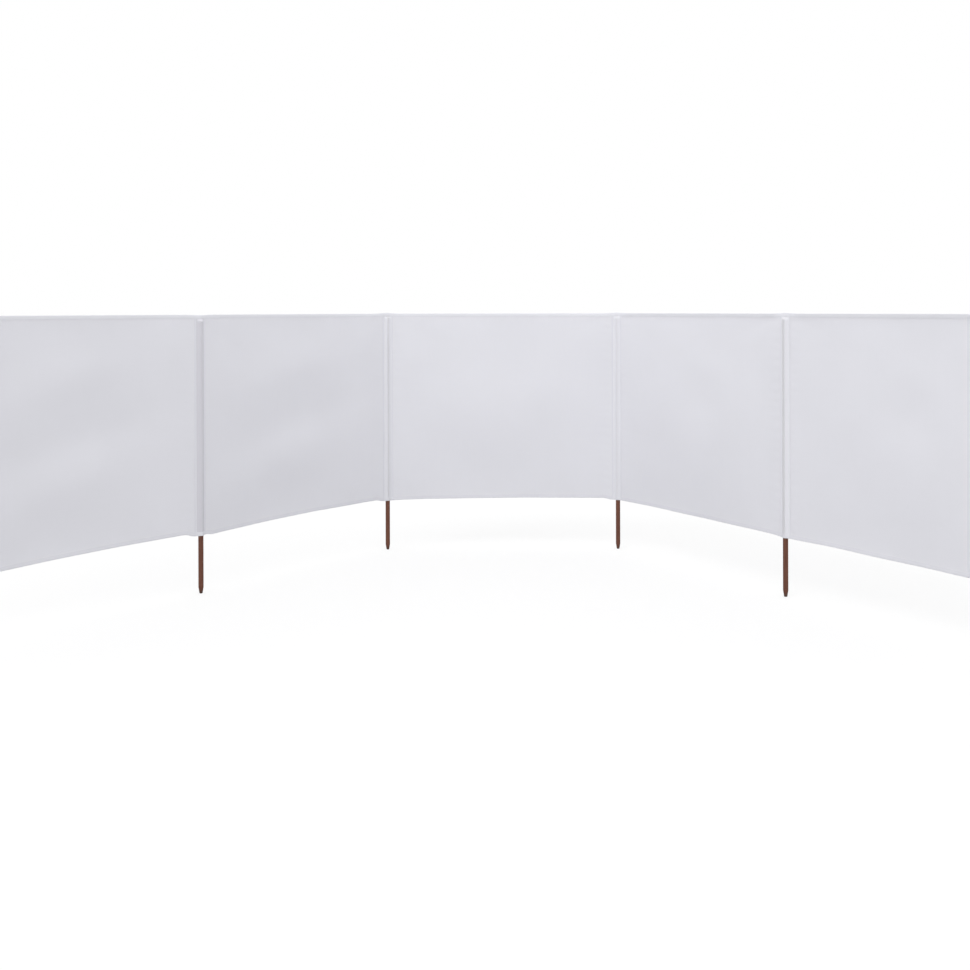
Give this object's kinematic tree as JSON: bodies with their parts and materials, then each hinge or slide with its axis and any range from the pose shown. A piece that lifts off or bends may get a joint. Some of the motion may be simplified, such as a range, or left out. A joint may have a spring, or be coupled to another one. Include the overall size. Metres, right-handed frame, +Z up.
{
  "type": "beach windbreak",
  "caption": "Free-standing beach windbreak of pale cloth bays held taut between pointed wooden poles in sewn sleeves, set out as a shallow three-sided shelter.",
  "frame": {"origin": "flat of the point of pole_3, the pole at the left end of the middle bay", "axes": "+X along the middle bay to the right as seen from the sheltered side, +Y to the windward side, +Z up along the poles"},
  "size_m": [3.8572, 2.0896, 1.2],
  "materials": {
    "stained_wood": "turned softwood with a red-brown stain",
    "white_cloth": "plain woven off-white cloth, matt"
  },
  "bodies": {
    "root": {"bottom_hem_1": "white_cloth", "bottom_hem_2": "white_cloth", "bottom_hem_3": "white_cloth", "bottom_hem_4": "white_cloth", "bottom_hem_5": "white_cloth", "panel_1": "white_cloth", "panel_2": "white_cloth", "panel_3": "white_cloth", "panel_4": "white_cloth", "panel_5": "white_cloth", "pole_1": "stained_wood", "pole_2": "stained_wood", "pole_3": "stained_wood", "pole_4": "stained_wood", "pole_5": "stained_wood", "pole_6": "stained_wood", "sleeve_1": "white_cloth", "sleeve_2": "white_cloth", "sleeve_3": "white_cloth", "sleeve_4": "white_cloth", "sleeve_5": "white_cloth", "sleeve_6": "white_cloth", "top_hem_1": "white_cloth", "top_hem_2": "white_cloth", "top_hem_3": "white_cloth", "top_hem_4": "white_cloth", "top_hem_5": "white_cloth"}
  },
  "joints": []
}
